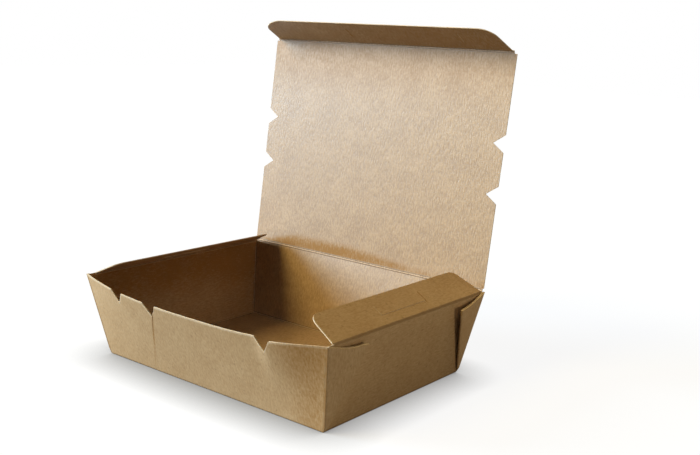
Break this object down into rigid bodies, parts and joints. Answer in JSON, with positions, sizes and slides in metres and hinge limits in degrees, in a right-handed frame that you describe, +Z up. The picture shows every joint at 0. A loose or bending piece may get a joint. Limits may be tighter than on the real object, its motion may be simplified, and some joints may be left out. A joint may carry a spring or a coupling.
{
  "type": "pizza box",
  "caption": "Folded kraft board food box with flared walls, doubled corner webs, a hinged lid with a tuck flap and two side flaps.",
  "frame": {"origin": "middle of the base's underside, which rests on the table", "axes": "+Z up, -Y towards the open front edge, +Y towards the lid's hinge, +X to the right seen from the front"},
  "size_m": [0.1974, 0.1722, 0.2025],
  "materials": {
    "kraft_board": "uncoated kraft outside, thin food-safe film inside"
  },
  "bodies": {
    "tray": {"tray": "kraft_board"},
    "lid": {"lid": "kraft_board"},
    "tuck_flap": {"tuck_flap": "kraft_board"},
    "left_side_flap": {"left_side_flap": "kraft_board"},
    "right_side_flap": {"right_side_flap": "kraft_board"}
  },
  "joints": [
    {"name": "lid_hinge", "type": "hinge", "parent": "tray", "child": "lid", "pos_m": [0, 0.07209, 0.05045], "axis": [-1, 0, 0], "range_deg": [-97.3, 80]},
    {"name": "tuck_fold", "type": "hinge", "parent": "lid", "child": "tuck_flap", "pos_m": [0, 0.08998, 0.19005], "axis": [-1, 0, 0], "range_deg": [-30.7, 25.24]},
    {"name": "right_flap_fold", "type": "hinge", "parent": "tray", "child": "right_side_flap", "pos_m": [0.09295, 0, 0.0497], "axis": [0, 1, 0], "range_deg": [-32.5, 26.73]},
    {"name": "left_flap_fold", "type": "hinge", "parent": "tray", "child": "left_side_flap", "pos_m": [-0.09295, 0, 0.0497], "axis": [0, -1, 0], "range_deg": [-26.51, 21.8]}
  ],
  "couplings": [
    {"joint": "tuck_fold", "follows": "lid_hinge", "ratio": 0.3155},
    {"joint": "right_flap_fold", "follows": "lid_hinge", "ratio": 0.334},
    {"joint": "left_flap_fold", "follows": "lid_hinge", "ratio": 0.2724}
  ]
}
